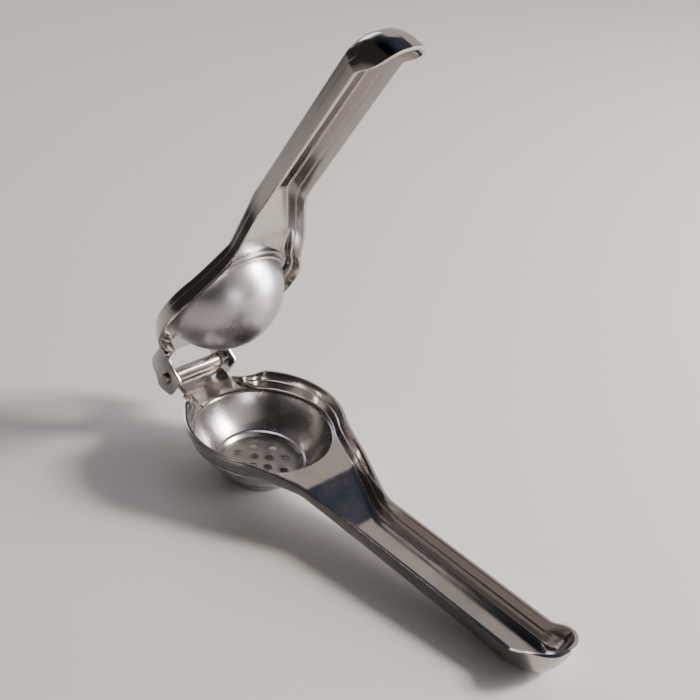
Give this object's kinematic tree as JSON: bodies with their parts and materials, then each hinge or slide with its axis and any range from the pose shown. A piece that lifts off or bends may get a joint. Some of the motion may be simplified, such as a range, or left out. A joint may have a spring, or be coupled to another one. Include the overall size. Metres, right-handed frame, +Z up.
{
  "type": "citrus press",
  "caption": "Hand-held citrus press: a holed cup and a domed presser on two stainless steel handles joined by a pinned hinge, standing open on a table.",
  "frame": {"origin": "centre of the bounding box on the table, with the press standing open on its cup's foot and its lower grip's end", "axes": "+X from the hinge towards the grips' tips, +Y across the press to its far side along the hinge pin, +Z up from the table"},
  "size_m": [0.2306, 0.0706, 0.2096],
  "materials": {
    "handle_steel": "polished",
    "cup_steel": "satin",
    "strainer_steel": "matt",
    "dome_steel": "satin",
    "pin_steel": "turned",
    "washer_steel": "bright"
  },
  "bodies": {
    "lower": {"lower_handle": "handle_steel", "juice_cup": "cup_steel", "strainer_disc": "strainer_steel"},
    "upper": {"upper_handle": "handle_steel", "press_dome": "dome_steel", "hinge_pin": "pin_steel", "hinge_washer_near": "washer_steel", "hinge_washer_far": "washer_steel"}
  },
  "joints": [
    {"name": "press_hinge", "type": "hinge", "parent": "lower", "child": "upper", "pos_m": [-0.10247, 0, 0.02874], "axis": [0, -1, 0], "range_deg": [-60.1, 115]}
  ]
}
